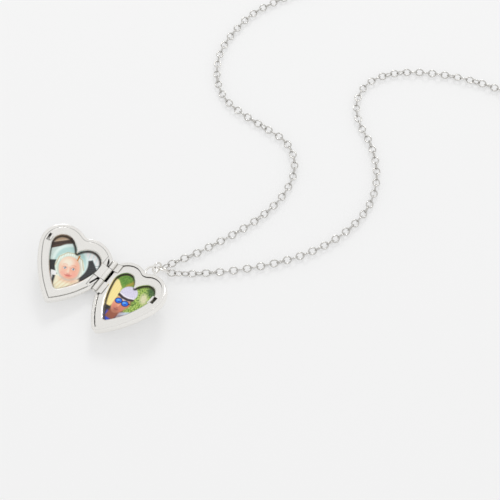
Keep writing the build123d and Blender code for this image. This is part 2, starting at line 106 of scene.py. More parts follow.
# The prints.
PRINT_TOP = -1.15 * MM             # a print's face, from the plane where the halves close
SHEET_T = 0.25 * MM
WINDOW_MARGIN = 0.25 * MM          # of the print under the frame
PAPER_TOOTH = 0.25 * MM            # the paper's fine pebble, drawn as coarse as shows
PAPER_WHITE = "#F4F4F2"
ROW_RISE = 0.866                   # rows of dots stand closer than the dots along them
EDGE_GAP = 0.6                     # dots to the cut edge
INSIDE_ONLY = 1                    # how the net is cut: no faces outside the edge
MERGE_NEARER = 1e-9                # points closer than this become one
GRAIN_SEED = 40
PRINT_GAIN = 1.30                  # brightness and contrast of the prints
PRINT_CONTRAST = 1.30
WELL_SHADE_W = 0.50                      # mm, a dark seam painted into a print for the shade of its well
WELL_SHADE_FIRMNESS = 1.6                # above 1 the painted shade stays dark further in, then ends faster
WELL_SHADE_DEPTH = 0.92                  # share of the print's colour that the shade takes
# colour of the painted shade of the well round a print
WELL_SHADE_BROWN = "#33261D"

# The steel's finish, and the painted shade in its corners.
RUB_PATCH = 2.2 * MM               # a duller patch where fingers rub
RUB_BRIGHT, RUB_DULL = 0.75, 1.45  # roughness beside the patches and on them, against the mean
BUFF_WAVE = 0.7 * MM               # waviness that the buffing wheel leaves
CORNER_GRIME_AND_SHADE_REACH = 0.9 * MM             # how far the darkening reaches out of a corner of the locket: polishing grime and painted shade
# how far the same darkening reaches between links and in the rings: polishing grime and painted shade between
# parts
LINK_GRIME_AND_SHADE_REACH = 0.25 * MM
# colour of that darkening, polishing grime and painted shade together
GRIME_AND_SHADE_BROWN = "#2A2826"

# The light: a tent that is duller at its foot, and a lamp behind the object.
TENT_FOOT = 0.52                   # brightness at the floor, against 1 above
TENT_FOOT_HEIGHT = 0.45            # where it reaches 1, as the sine of the angle above the floor
KEY_RIGHT, KEY_AWAY, KEY_UP = 0.08, 0.52, 0.50
KEY_SIZE = 0.22
CARD_GLOW = 0.45                   # share of the card's light that it gives by itself
CARD_GLOW_LEVEL = 0.99             # brightness of that share, against the card in full light


# ---------------------------------------------------------------- small tools
def linear(hex_colour):
    """Linear colour from an sRGB hex value."""
    channels = [int(hex_colour[at:at + 2], 16) / 255 for at in (1, 3, 5)]
    return tuple(c / 12.92 if c <= 0.04045 else ((c + 0.055) / 1.055) ** 2.4 for c in channels)


def add_node(tree, kind, inputs=None, **settings):
    """Add a node: inputs are values or other nodes' sockets, settings are its own attributes."""
    node = tree.nodes.new(kind)
    for name, value in settings.items():
        setattr(node, name, value)
    for name, value in (inputs or {}).items():
        if isinstance(value, bpy.types.NodeSocket):
            tree.links.new(value, node.inputs[name])
        else:
            node.inputs[name].default_value = value
    return node


def new_material(name):
    material = bpy.data.materials.new(name)
    material.use_nodes = True
    material.node_tree.nodes.clear()
    return material, material.node_tree


def close_material(tree, shader):
    add_node(tree, "ShaderNodeOutputMaterial", {"Surface": shader.outputs["BSDF"]})


def new_piece(name, vertices, faces, smooth=True):
    mesh = bpy.data.meshes.new(name)
    mesh.from_pydata(vertices, [], faces)
    mesh.validate()
    for polygon in mesh.polygons:
        polygon.use_smooth = smooth
    piece = bpy.data.objects.new(name, mesh)
    bpy.context.scene.collection.objects.link(piece)
    return piece


def paint(node_name, material):
    """Give a node of the frame its finished material, in every slot."""
    mesh = frame["nodes"][node_name].data
    if not mesh.materials:
        mesh.materials.append(material)
    for index in range(len(mesh.materials)):
        mesh.materials[index] = material


def half_to_room(side):
    """From a half drawn flat, its lobes' centres on the x axis, to where it lies open."""
    flat = Matrix.Rotation(HEART_TURN, 4, "Z") @ Matrix.Translation((HINGE_TO_MIDDLE, HINGE_TO_LOBES, 0))
    mirrored = Matrix.Scale(side, 4, (1, 0, 0))
    tilted = Matrix.Translation((0, 0, HINGE_HEIGHT)) @ Matrix.Rotation(-side * TILT, 4, "Y")
    return tilted @ mirrored @ flat


# ---------------------------------------------------------------- materials
def polished_steel(name, colour, roughness, grime_and_shade_reach):
    """316 stainless steel, stamped or drawn, then tumbled and buffed.

    The buffing leaves a soft mirror: a slight waviness and patches that are a little duller where
    fingers rub. Corners and grooves darken by how near other surfaces stand, partly polishing grime and partly
    painted shade, which draws them as dark lines."""
    material, tree = new_material(name)
    place = add_node(tree, "ShaderNodeTexCoord")
    rubbed = add_node(tree, "ShaderNodeTexNoise", {
        "Vector": place.outputs["Object"], "Scale": 1 / RUB_PATCH, "Detail": 3.0})
    dull = add_node(tree, "ShaderNodeMapRange", {
        "Value": rubbed.outputs["Fac"], "From Min": 0.3, "From Max": 0.7,
        "To Min": roughness * RUB_BRIGHT, "To Max": roughness * RUB_DULL})
    waves = add_node(tree, "ShaderNodeTexNoise", {
        "Vector": place.outputs["Object"], "Scale": 1 / BUFF_WAVE, "Detail": 2.0})
    bump = add_node(tree, "ShaderNodeBump", {
        "Height": waves.outputs["Fac"], "Strength": 0.10, "Distance": 0.02 * MM})
    # painted shade: the steel turns dark brown where other surfaces stand near, in corners, grooves and between
    # parts, together with polishing grime
    corners = add_node(tree, "ShaderNodeAmbientOcclusion", {"Distance": grime_and_shade_reach}, samples=8)
    grime_and_shade = add_node(tree, "ShaderNodeMapRange", {
        "Value": corners.outputs["AO"], "From Min": 0.28, "From Max": 0.80, "To Min": 0.10, "To Max": 1.0})
    tone = add_node(tree, "ShaderNodeMix", {
        "Factor": grime_and_shade.outputs["Result"], "A": (*linear(GRIME_AND_SHADE_BROWN), 1), "B": (*colour, 1)},
        data_type="RGBA")
    steel = add_node(tree, "ShaderNodeBsdfPrincipled", {
        "Base Color": tone.outputs["Result"], "Roughness": dull.outputs["Result"],
        "Normal": bump.outputs["Normal"], "Metallic": 1.0})
    close_material(tree, steel)
    return material


def matt_card(name, colour):
    """White studio card, matt. Nearly half its light is its own, which keeps the shadows faint."""
    material, tree = new_material(name)
    card = add_node(tree, "ShaderNodeBsdfPrincipled", {
        "Base Color": (*[channel * (1 - CARD_GLOW) for channel in colour], 1), "Roughness": 0.95,
        "Specular IOR Level": 0.1, "Emission Color": (*colour, 1),
        "Emission Strength": CARD_GLOW * CARD_GLOW_LEVEL})
    close_material(tree, card)
    return material


def glossy_print(name, gloss):
    """Resin-coated print paper, ink-jet printed: saturated colour under a thin clear gloss."""
    material, tree = new_material(name)
    ink = add_node(tree, "ShaderNodeAttribute", attribute_name="ink")
    place = add_node(tree, "ShaderNodeTexCoord")
    tooth = add_node(tree, "ShaderNodeTexNoise", {
        "Vector": place.outputs["Object"], "Scale": 1 / PAPER_TOOTH, "Detail": 1.0})
    bump = add_node(tree, "ShaderNodeBump", {
        "Height": tooth.outputs["Fac"], "Strength": 0.05, "Distance": 0.01 * MM})
    paper = add_node(tree, "ShaderNodeBsdfPrincipled", {
        "Base Color": ink.outputs["Color"], "Roughness": 0.45, "Specular IOR Level": 0.35,
        "Coat Weight": gloss, "Coat Roughness": 0.12, "Normal": bump.outputs["Normal"]})
    close_material(tree, paper)
    return material


# ---------------------------------------------------------------- floor, light and camera
def soft_room(scene, strength):
    """A white light tent, a little darker at its foot."""
    world = bpy.data.worlds.new("light tent")
    scene.world = world
    world.use_nodes = True
    tree = world.node_tree
    tree.nodes.clear()
    look = add_node(tree, "ShaderNodeTexCoord")
    height = add_node(tree, "ShaderNodeSeparateXYZ", {"Vector": look.outputs["Generated"]})
    tent = add_node(tree, "ShaderNodeMapRange", {
        "Value": height.outputs["Z"], "From Min": 0.0, "From Max": TENT_FOOT_HEIGHT,
        "To Min": TENT_FOOT, "To Max": 1.0}, interpolation_type="SMOOTHSTEP")
    glow = add_node(tree, "ShaderNodeBackground", {
        "Color": tent.outputs["Result"], "Strength": strength})
    add_node(tree, "ShaderNodeOutputWorld", {"Surface": glow.outputs["Background"]})


def window_light(name, location, target, size, power):
    data = bpy.data.lights.new(name, "AREA")
    data.shape = "SQUARE"
    data.size = size
    data.energy = power
    lamp = bpy.data.objects.new(name, data)
    lamp.location = location
    lamp.rotation_euler = (location - target).to_track_quat("Z", "Y").to_euler()
    bpy.context.scene.collection.objects.link(lamp)


def place_camera(scene, settings, target):
    turn, rise = settings.camera_turn, settings.camera_rise
    outward = Vector((math.sin(turn) * math.cos(rise), -math.cos(turn) * math.cos(rise),
                      math.sin(rise)))
    data = bpy.data.cameras.new("camera")
    data.lens = settings.lens
    data.clip_start = 0.01
    camera = bpy.data.objects.new("camera", data)
    camera.location = target + outward * settings.camera_distance
    camera.rotation_euler = outward.to_track_quat("Z", "Y").to_euler()
    scene.collection.objects.link(camera)
    scene.camera = camera


class LOCKET_OT_stage(bpy.types.Operator):
    """Set the pale floor, the soft studio light and the camera"""
    bl_idname = "locket.stage"
    bl_label = "Floor, light and camera"

    def execute(self, context):
        settings = context.scene.locket_stage
        scene = context.scene
        scene.view_settings.view_transform = "Standard"
        size = settings.floor_size / 2
        corners = [(-size, -size, 0), (size, -size, 0), (size, size, 0), (-size, size, 0)]
        floor = new_piece("floor", corners, [(0, 1, 2, 3)], smooth=False)
        floor.data.materials.append(matt_card("matt card", settings.floor_colour))
        soft_room(scene, settings.room_light)
        target = Vector(settings.aim)
        place_camera(scene, settings, target)
        turn = settings.camera_turn
        right = Vector((math.cos(turn), math.sin(turn), 0))
        away = Vector((-math.sin(turn), math.cos(turn), 0))
        key_place = target + right * KEY_RIGHT + away * KEY_AWAY + Vector((0, 0, KEY_UP))
        window_light("key light", key_place, target, KEY_SIZE, settings.key_power)
        return {"FINISHED"}


# ---------------------------------------------------------------- the chain
def strand_line(points):
    """A smooth line through a strand, read back from a spline that has the points as its controls."""
    curve = bpy.data.curves.new("strand", "CURVE")
    curve.dimensions = "3D"
    curve.resolution_u = 16
    spline = curve.splines.new("NURBS")
    spline.points.add(len(points) - 1)
    for control, point in zip(spline.points, points):
        control.co = (*point, 1)
    spline.order_u = 3
    spline.use_endpoint_u = True
    holder = bpy.data.objects.new("strand", curve)
    mesh = bpy.data.meshes.new_from_object(holder)
    line = [vertex.co.copy() for vertex in mesh.vertices]
    bpy.data.objects.remove(holder)
    bpy.data.curves.remove(curve)
    bpy.data.meshes.remove(mesh)
    return line


class Along:
    """Places on a line by the distance from its start."""

    def __init__(self, line):
        self.line = line
        self.at = [0.0]
        for start, end in zip(line, line[1:]):
            self.at.append(self.at[-1] + (end - start).length)
        self.length = self.at[-1]

    def place(self, distance):
        distance = min(max(distance, 0.0), self.length)
        index = int(np.searchsorted(self.at, distance, side="right")) - 1
        index = min(index, len(self.line) - 2)
        span = self.at[index + 1] - self.at[index]
        return self.line[index].lerp(self.line[index + 1], (distance - self.at[index]) / span)


def link_shape(length, width, wire, around, across):
    """One link of round wire, an oval ring, along x and flat in the xy plane."""
    half_length, half_width = (length - wire) / 2, (width - wire) / 2
    vertices = []
    for step in range(around):
        angle = 2 * math.pi * step / around
        middle = Vector((half_length * math.cos(angle), half_width * math.sin(angle), 0))
        out = Vector((half_width * math.cos(angle), half_length * math.sin(angle), 0)).normalized()
        for turn in range(across):
            lean = 2 * math.pi * turn / across
            rim = out * math.cos(lean) + Vector((0, 0, math.sin(lean)))
            vertices.append(middle + rim * wire / 2)
    faces = []
    for step in range(around):
        following = (step + 1) % around
        for turn in range(across):
            beside = (turn + 1) % across
            faces.append((step * across + turn, following * across + turn,
                          following * across + beside, step * across + beside))
    return vertices, faces


def thread_links(name, points, first_roll, settings, seed):
    """Links along a strand, each a quarter turn from the last, with a little chance in the roll."""
    line = strand_line(points)
    route = Along(line)
    shape, sides = link_shape(settings.link_length, settings.link_width, settings.wire,
                              settings.around, settings.across)
    pitch = settings.link_length - 2 * settings.wire
    hook = pitch / 2 - RING_WIRE / 2
    count = round((route.length - 2 * hook) / pitch) + 1
    step = (route.length - 2 * hook) / (count - 1)
    chance = random.Random(seed)
    vertices, faces = [], []
    for index in range(count):
        middle = hook + index * step
        before, after = route.place(middle - step / 2), route.place(middle + step / 2)
        along = (after - before).normalized()
        loose = 1 - math.exp(-min(index, count - 1 - index) / SETTLE_LINKS)
        side = Vector((0, 0, 1)).lerp(Vector(LINKS_FACE), loose).cross(along).normalized()
        up = along.cross(side)
        settling = math.exp(-index / SETTLE_LINKS)
        roll = math.radians(first_roll * settling + 90.0 * ((index + 1) % 2))
        roll += math.radians(chance.gauss(0.0, settings.roll_spread)) * loose
        turned_side = side * math.cos(roll) + up * math.sin(roll)
        turned_up = along.cross(turned_side)
        axes = Matrix((along, turned_side, turned_up)).transposed()
        centre = route.place(middle)
        first = len(vertices)
        link = [centre + axes @ point for point in shape]
        lift = max(0.0, -min(point.z for point in link))   # the floor holds a low link up
        vertices.extend(point + Vector((0, 0, lift)) for point in link)
        faces.extend(tuple(first + corner for corner in face) for face in sides)
    return new_piece(name, vertices, faces), line


class LOCKET_OT_chain(bpy.types.Operator):
    """Thread both strands of the cable chain between the jump ring and the clasp"""
    bl_idname = "locket.chain"
    bl_label = "Chain"

    def execute(self, context):
        settings = context.scene.locket_chain
        steel = polished_steel("drawn steel wire, polished", settings.colour, settings.roughness,
                               LINK_GRIME_AND_SHADE_REACH)
        left, left_line = thread_links("chain_left_links", LEFT_STRAND, LEFT_FIRST_ROLL, settings,
                                       LEFT_SEED)
        right, right_line = thread_links("chain_right_links", RIGHT_STRAND, RIGHT_FIRST_ROLL, settings,
                                         RIGHT_SEED)
        for piece, node in ((left, "chain_left"), (right, "chain_right")):
            piece.data.materials.append(steel)
            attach(piece, "chain")
            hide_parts(node)
        return {"FINISHED"}


# ---------------------------------------------------------------- the pictures
# Both pictures are drawn in millimetres on the half as one looks at it, with the lobes' centres at
# y = 0, the tip towards -y and x to the right. Each layer covers what was drawn before it.
def turned(x, y, angle):
    """Points turned anticlockwise about the origin."""
    return x * math.cos(angle) - y * math.sin(angle), x * math.sin(angle) + y * math.cos(angle)


class Canvas:
    """Points of a print and the colour that each one has so far."""

    def __init__(self, x, y, ground, seed):
        self.x, self.y = x, y
        self.colour = np.tile(np.array(linear(ground)), (len(x), 1))
        self.seed = seed

    def grain(self, size, stretch=1.0, turn=0.0):
        """Smooth noise from -1 to 1, about so many millimetres coarse."""
        x, y = turned(self.x, self.y, turn)
        x, y = x / size / stretch, y / size
        self.seed += 1
        total = np.zeros_like(x)
        chance = random.Random(self.seed)
        for octave in (1.0, 1.9, 3.7):
            angle, shift = chance.uniform(0, math.tau), chance.uniform(0, 9)
            u, v = turned(x * octave, y * octave, angle)
            ripple = np.sin(u * 2.1 + shift + np.sin(v * 1.7 - shift))
            total += ripple * np.cos(v * 2.3 + np.sin(u * 1.3)) / octave
        return total / 1.6

    def lay(self, cover, hex_colour, strength=1.0):
        """Lay a colour over the points by how far each one is covered."""
        weight = np.clip(cover, 0, 1)[:, None] * strength
        self.colour = self.colour * (1 - weight) + np.array(linear(hex_colour)) * weight

    def oval(self, cx, cy, rx, ry, turn=0.0, soft=0.12):
        x, y = turned(self.x - cx, self.y - cy, -turn)
        reach = np.sqrt((x / rx) ** 2 + (y / ry) ** 2)
        return 0.5 + (1 - reach) * min(rx, ry) / soft

    def area(self, corners, soft=0.15):
        """A patch with straight sides that bulges all round, its corners given anticlockwise."""
        inside = np.full_like(self.x, 9.0)
        for (x0, y0), (x1, y1) in zip(corners, corners[1:] + corners[:1]):
            length = math.hypot(x1 - x0, y1 - y0)
            left_of = ((x1 - x0) * (self.y - y0) - (y1 - y0) * (self.x - x0)) / length
            inside = np.minimum(inside, left_of)
        return 0.5 + inside / soft

    def stroke(self, points, width, soft=0.08):
        """A line of a given width through a few points."""
        nearest = np.full_like(self.x, 99.0)
        for (x0, y0), (x1, y1) in zip(points, points[1:]):
            dx, dy = x1 - x0, y1 - y0
            share = np.clip(((self.x - x0) * dx + (self.y - y0) * dy) / (dx * dx + dy * dy), 0, 1)
            nearest = np.minimum(nearest, np.hypot(self.x - x0 - share * dx, self.y - y0 - share * dy))
        return 0.5 + (width / 2 - nearest) / soft


class Head:
    """Places on a head: x to its left and right, y up, in shares of its half width and half height."""

    def __init__(self, canvas, cx, cy, half_width, half_height, turn):
        self.canvas = canvas
        self.centre, self.half, self.turn = (cx, cy), (half_width, half_height), turn

    def spot(self, x, y):
        across, up = turned(x * self.half[0], y * self.half[1], self.turn)
        return self.centre[0] + across, self.centre[1] + up

    def oval(self, x, y, rx, ry, lean=0.0, soft=0.12):
        return self.canvas.oval(*self.spot(x, y), rx * self.half[0], ry * self.half[1],
                                self.turn + lean, soft)

    def area(self, corners, soft=0.15):
        return self.canvas.area([self.spot(x, y) for x, y in corners], soft)

    def stroke(self, points, width, soft=0.08):
        return self.canvas.stroke([self.spot(x, y) for x, y in points], width * self.half[0], soft)


def draw_face(head, skin, shade, light, blush, lip, eye_line, eye_size, iris=None):
    """A calm, plain face on schoolbook proportions: the nose ends halfway from eyes to chin, the mouth
    lies a third of the way from there, and the eyes stand one eye's width apart."""
    lay = head.canvas.lay
    chin = -1.0
    nose = eye_line + (chin - eye_line) * 0.50
    mouth = nose + (chin - nose) * 0.36
    lay(head.oval(0, 0, 1.0, 1.0, soft=0.25), skin)
    lay(head.oval(0.62, -0.15, 0.50, 0.95, soft=1.1), shade, 0.40)
    lay(head.oval(0, -1.05, 0.80, 0.30, soft=0.7), shade, 0.45)
    lay(head.oval(-0.20, 0.42, 0.55, 0.36, soft=1.0), light, 0.75)
    for side in (-1, 1):
        lay(head.oval(side * 0.52, nose - 0.02, 0.30, 0.22, soft=0.8), blush, 0.60)
        lay(head.oval(side * 0.40, eye_line, eye_size * 1.9, eye_size * 1.5, soft=0.6), shade, 0.45)
    lay(head.stroke([(0.05, eye_line + 0.05), (0.10, nose + 0.10)], 0.16, soft=0.5), shade, 0.40)
    lay(head.stroke([(-0.03, eye_line), (-0.02, nose + 0.08)], 0.12, soft=0.4), light, 0.55)
    lay(head.oval(0, nose + 0.02, 0.17, 0.09, soft=0.3), blush, 0.55)
    for side in (-1, 1):
        lay(head.oval(side * 0.09, nose - 0.05, 0.055, 0.035, soft=0.15), "#8A4A3E", 0.7)
    if iris:
        for side in (-1, 1):
            x = side * 0.40
            lay(head.oval(x, eye_line, eye_size, eye_size * 0.62, soft=0.12), "#F2EFEC")
            lay(head.oval(x, eye_line, eye_size * 0.60, eye_size * 0.60, soft=0.10), iris)
            lay(head.oval(x, eye_line, eye_size * 0.30, eye_size * 0.30, soft=0.08), "#1E1A1A")
            lay(head.oval(x - 0.05, eye_line + 0.05, 0.045, 0.040, soft=0.06), "#FFFFFF", 0.9)
            lid = [(x - eye_size * 1.1, eye_line + 0.02), (x - eye_size * 0.4, eye_line + eye_size * 0.68),
                   (x + eye_size * 0.4, eye_line + eye_size * 0.68), (x + eye_size * 1.1, eye_line + 0.02)]
            lay(head.stroke(lid, 0.045, soft=0.10), "#7A5348", 0.75)
            brow = [(x - 0.20, eye_line + 0.30), (x, eye_line + 0.36), (x + 0.20, eye_line + 0.30)]
            lay(head.stroke(brow, 0.06, soft=0.20), "#C08F6E", 0.55)
    lay(head.oval(0, mouth - 0.17, 0.24, 0.06, soft=0.3), shade, 0.45)
    lay(head.oval(0, mouth + 0.025, 0.33, 0.050, soft=0.14), lip, 0.85)
    lay(head.oval(0, mouth - 0.045, 0.27, 0.065, soft=0.14), lip, 0.85)
    lay(head.stroke([(-0.36, mouth + 0.045), (-0.15, mouth), (0.15, mouth), (0.36, mouth + 0.045)], 0.03,
                    soft=0.10), "#8C3F3C", 0.60)


def draw_baby(canvas):
    """A baby in a knitted cap and a pale hood, strapped in a dark seat, under a wooden shelf."""
    lay = canvas.lay
    weave = canvas.grain(0.30)
    lean = math.radians(21)
    lay(canvas.area([(-9, 9), (-9, -1.4), (-0.5, 3.2), (-0.5, 9)]), "#CDBBA6")
    lay(canvas.area([(-7.2, -0.9), (-5.9, -2.2), (-0.8, 2.7), (-1.6, 4.0)]), "#5A4334")
    lay(canvas.stroke([(-6.4, -1.0), (-1.0, 4.0)], 0.20, soft=0.25), "#2E2019", 0.8)
    lay(canvas.stroke([(-6.6, 0.2), (-2.4, 4.2)], 0.30, soft=0.4), "#B89A7C", 0.7)
    lay(canvas.area([(-6.4, -2.1), (-3.6, -6.0), (1.0, 1.0), (-1.2, 3.0)]), "#CFDCD8")
    lay(canvas.area([(0.3, 3.4), (0.2, -0.4), (7.6, -2.2), (7.8, 3.6)]), "#E9F4F4")
    for step in range(6):
        x = 1.6 + step * 0.95
        lay(canvas.stroke([(x, 3.2), (x + 0.9, -1.6)], 0.10, soft=0.25), "#B9CFD2", 0.8)
    lay(canvas.area([(2.4, -0.1), (3.0, -5.6), (6.2, -3.6), (6.6, -0.9), (4.0, 1.2)], soft=0.3), "#35383B")
    for step in range(7):
        y = -4.6 + step * 0.62
        lay(canvas.stroke([(3.2, y), (6.6, y + 1.9)], 0.10, soft=0.2), "#4C5154", 0.8)
    lay(canvas.oval(-0.3, -1.9, 4.2, 4.3, lean, soft=0.35), "#DDEAE6")
    lay(canvas.oval(-0.1, -2.2, 3.75, 3.95, lean, soft=0.5), "#B5D2CF", 0.85)
    lay(canvas.area([(-5.2, -4.4), (-2.4, -7.4), (-1.4, -6.2), (-2.9, -3.0)], soft=0.3), "#24282A")
    lay(canvas.area([(-3.1, -6.0), (-1.2, -10.4), (0.3, -9.6), (-1.9, -5.6)], soft=0.2), "#F1F3F0")
    lay(canvas.area([(-2.2, -6.9), (-0.4, -11.0), (0.4, -10.6), (-1.4, -6.6)], soft=0.2), "#2B2E31")
    lay(canvas.area([(-1.6, -6.4), (-0.2, -12.0), (4.8, -7.4), (3.6, -4.6), (0.8, -5.6)], soft=0.4),
        "#EFE6CF")
    for step in range(5):
        fold = [(-0.8 + step * 0.9, -9.6 + step * 0.5), (0.2 + step * 0.8, -6.2)]
        lay(canvas.stroke(fold, 0.14, soft=0.35), "#D3C39E", 0.75)
    head = Head(canvas, 0.25, -3.35, 2.45, 2.75, lean)
    cap = head.oval(0.02, 0.10, 1.40, 1.25, soft=0.25)
    lay(cap, "#E8EFE6")
    for step in range(-6, 7):
        rib = [(step * 0.20, 1.45), (step * 0.24, 0.60), (step * 0.25, -0.90)]
        lay(np.minimum(head.stroke(rib, 0.05, soft=0.22), cap), "#B9CBBE", 0.70)
    lay(np.minimum(0.5 + weave * 0.5, cap), "#D2DED3", 0.35)
    lay(head.oval(0.0, -0.06, 1.14, 1.12, soft=0.22), "#C8D6CB", 0.9)
    hem = [(-1.36, 0.0), (-1.10, 0.82), (-0.40, 1.30), (0.40, 1.32), (1.12, 0.86), (1.40, 0.0)]
    lay(head.stroke(hem, 0.06, soft=0.18), "#B79A5C", 0.75)
    draw_face(head, "#F3CDB8", "#D89C86", "#FBE6D9", "#F2A99C", "#DB8079", -0.08, 0.150, "#6F93A8")
    lay(head.stroke([(0.66, 0.78), (0.80, 1.20)], 0.13, soft=0.10), "#C98A2E")
    lay(np.clip(0.5 + weave * 0.5, 0, 1), "#FFFFFF", 0.04)


def draw_adult(canvas):
    """Someone outdoors in a pale cap and mirrored sunglasses, before a garden and a sunlit wall."""
    lay = canvas.lay
    leaves, fine = canvas.grain(0.55), canvas.grain(0.24)
    lay(np.full_like(canvas.x, 1.0), "#9DB85A")
    lay(leaves * 2.2, "#5E8A35", 0.9)
    lay(fine * 2.6 - 0.5, "#DDE8A0", 0.85)
    lay(-fine * 2.6 - 1.0, "#35561F", 0.85)
    lay(canvas.oval(-3.2, 1.2, 3.0, 1.9, 0.3, soft=1.2), "#6FA13C", 0.55)
    lay(np.minimum(fine * 2.0, canvas.oval(-3.4, 1.4, 2.8, 1.9, 0.3, soft=0.8)), "#2F6B2A", 0.85)
    lay(canvas.oval(4.4, 1.9, 1.6, 1.0, -0.5, soft=0.8), "#2C5B3A", 0.8)
    lay(canvas.oval(4.0, -0.6, 1.5, 0.9, -0.8, soft=0.8), "#E2D9C4", 0.75)
    lay(canvas.stroke([(-0.6, 3.4), (-1.6, 1.2), (-2.2, 0.2)], 0.9, soft=0.8), "#C9A14E", 0.6)
    lay(canvas.stroke([(0.9, -1.6), (2.4, -3.4), (3.2, -2.4)], 0.28, soft=0.3), "#3F5F28", 0.7)
    wall = [(-6.6, 0.6), (-5.6, -7.0), (-2.2, -8.6), (-1.9, -4.6), (-3.2, -0.8), (-5.2, 0.4)]
    lay(canvas.area(wall, soft=0.3), "#F4DFA6")
    for step in range(5):
        groove = [(-5.6 + step * 0.72, 0.2 - step * 0.30), (-4.3 + step * 0.55, -7.0)]
        lay(canvas.stroke(groove, 0.09, soft=0.3), "#D9B978", 0.55)
    lay(canvas.area([(-3.6, -5.9), (-1.6, -12.5), (3.4, -8.6), (3.9, -5.6), (1.6, -5.8)], soft=0.3),
        "#2C3038")
    lay(canvas.area([(-1.9, -7.2), (-0.6, -11.5), (1.5, -10.6), (1.3, -7.4)], soft=0.25), "#2257C8")
    lay(canvas.area([(1.2, -6.4), (1.9, -8.6), (3.9, -7.0), (3.6, -5.0)], soft=0.25), "#C9D2DD", 0.9)
    lay(canvas.stroke([(1.6, -7.4), (3.6, -5.9)], 0.22, soft=0.2), "#4A5A78", 0.8)
    head = Head(canvas, -0.15, -4.05, 2.10, 3.00, math.radians(3))
    lay(head.area([(-0.62, -0.55), (-0.66, -1.55), (0.62, -1.60), (0.66, -0.45)], soft=0.4), "#9A6450")
    lay(head.oval(1.02, 0.02, 0.16, 0.24, soft=0.2), "#D08E78")
    draw_face(head, "#DDA58C", "#A9694F", "#F2CDB4", "#D98A76", "#B56A62", 0.05, 0.13)
    lay(head.oval(0, -0.78, 0.70, 0.34, soft=0.9), "#8E6A5C", 0.28)
    cap = head.oval(-0.02, 0.92, 1.14, 0.66, soft=0.25)
    lay(cap, "#D9D6E4")
    lay(np.minimum(cap, 0.5 + fine), "#B9B5CC", 0.45)
    lay(head.stroke([(-1.02, 0.56), (-0.40, 0.44), (0.40, 0.44), (1.02, 0.58)], 0.30, soft=0.2), "#4B3A3C")
    lay(head.stroke([(-1.02, 0.70), (0.0, 0.60), (1.02, 0.72)], 0.10, soft=0.2), "#F0EEF5", 0.8)
    lay(head.stroke([(-0.92, 0.14), (-0.15, 0.12), (0.15, 0.12), (1.02, 0.16)], 0.14, soft=0.12), "#1B1C22")
    for side in (-1, 1):
        lay(head.oval(side * 0.48, 0.06, 0.51, 0.260, soft=0.14), "#17191F")
        lay(head.oval(side * 0.48, 0.06, 0.42, 0.200, soft=0.14), "#1E7BE0")
        lay(head.oval(side * 0.46 - 0.10, 0.09, 0.20, 0.070, lean=0.2, soft=0.18), "#7FC4FF", 0.9)
        lay(head.oval(side * 0.46 + 0.12, 0.01, 0.18, 0.060, soft=0.18), "#0B3F93", 0.7)


def arc(centre, radius, start, end):
    """Points along an arc, evenly apart."""
    count = max(2, round(abs(end - start) * radius / ARC_STEP))
    angles = [start + (end - start) * step / count for step in range(count + 1)]
    return [centre + Vector((math.cos(angle), math.sin(angle))) * radius for angle in angles]


def heart_outline():
    """The print's edge, a little outside the window: two lobes, long sides and a soft notch."""
    out = Vector((math.cos(SIDE_ANGLE), -math.sin(SIDE_ANGLE)))
    reach = Vector((LOBE_X, TIP_DEPTH))
    along = reach.dot(out)
    side_r = (reach.dot(reach) + 2 * LOBE_R * along + LOBE_R ** 2) / (2 * (along + LOBE_R))
    lobe = Vector((LOBE_X, 0))
    side = lobe + out * (LOBE_R - side_r)
    notch = lobe + Vector((math.cos(NOTCH_ANGLE), math.sin(NOTCH_ANGLE))) * (LOBE_R - NOTCH_R)
    lobe_r, notch_r, side_r = LOBE_R + WINDOW_MARGIN, NOTCH_R + WINDOW_MARGIN, side_r + WINDOW_MARGIN
    half = arc(notch, notch_r, math.acos(-notch.x / notch_r), NOTCH_ANGLE)
    half += arc(lobe, lobe_r, NOTCH_ANGLE, -SIDE_ANGLE)[1:]
    half += arc(side, side_r, -SIDE_ANGLE, -math.acos(-side.x / side_r))[1:]
    right = [Vector((point.x, point.y + WINDOW_RAISE)) for point in half]
    left = [Vector((-point.x, point.y)) for point in reversed(right[1:-1])]
    return right + left


def edge_distance(x, y, edge):
    """How far each point of the net lies from the cut edge of the print, in millimetres."""
    nearest = np.full(len(x), 100.0)
    for start, end in zip(edge, edge[1:] + edge[:1]):
        from_x, from_y = start.x / MM, start.y / MM
        run_x, run_y = end.x / MM - from_x, end.y / MM - from_y
        share = np.clip(((x - from_x) * run_x + (y - from_y) * run_y) / (run_x ** 2 + run_y ** 2), 0, 1)
        nearest = np.minimum(nearest, np.hypot(x - from_x - share * run_x, y - from_y - share * run_y))
    return nearest


def print_net(edge, dot):
    """A fine net of points within the print's edge, the edge's own points first, and its faces."""
    inside = []
    low_y, high_y = min(p.y for p in edge), max(p.y for p in edge)
    rows = int((high_y - low_y) / (dot * ROW_RISE)) + 1
    for row in range(rows):
        y = low_y + row * dot * ROW_RISE
        crossings = sorted(a.x + (b.x - a.x) * (y - a.y) / (b.y - a.y)
                           for a, b in zip(edge, edge[1:] + edge[:1]) if (a.y > y) != (b.y > y))
        shift = dot / 2 * (row % 2)
        for start, end in zip(crossings[::2], crossings[1::2]):
            first = math.ceil((start + dot * EDGE_GAP - shift) / dot)
            last = math.floor((end - dot * EDGE_GAP - shift) / dot)
            inside.extend(Vector((shift + step * dot, y)) for step in range(first, last + 1))
    sides = [(i, (i + 1) % len(edge)) for i in range(len(edge))]
    net, _, faces, *_ = delaunay_2d_cdt(edge + inside, sides, [], INSIDE_ONLY, MERGE_NEARER)
    return net, faces


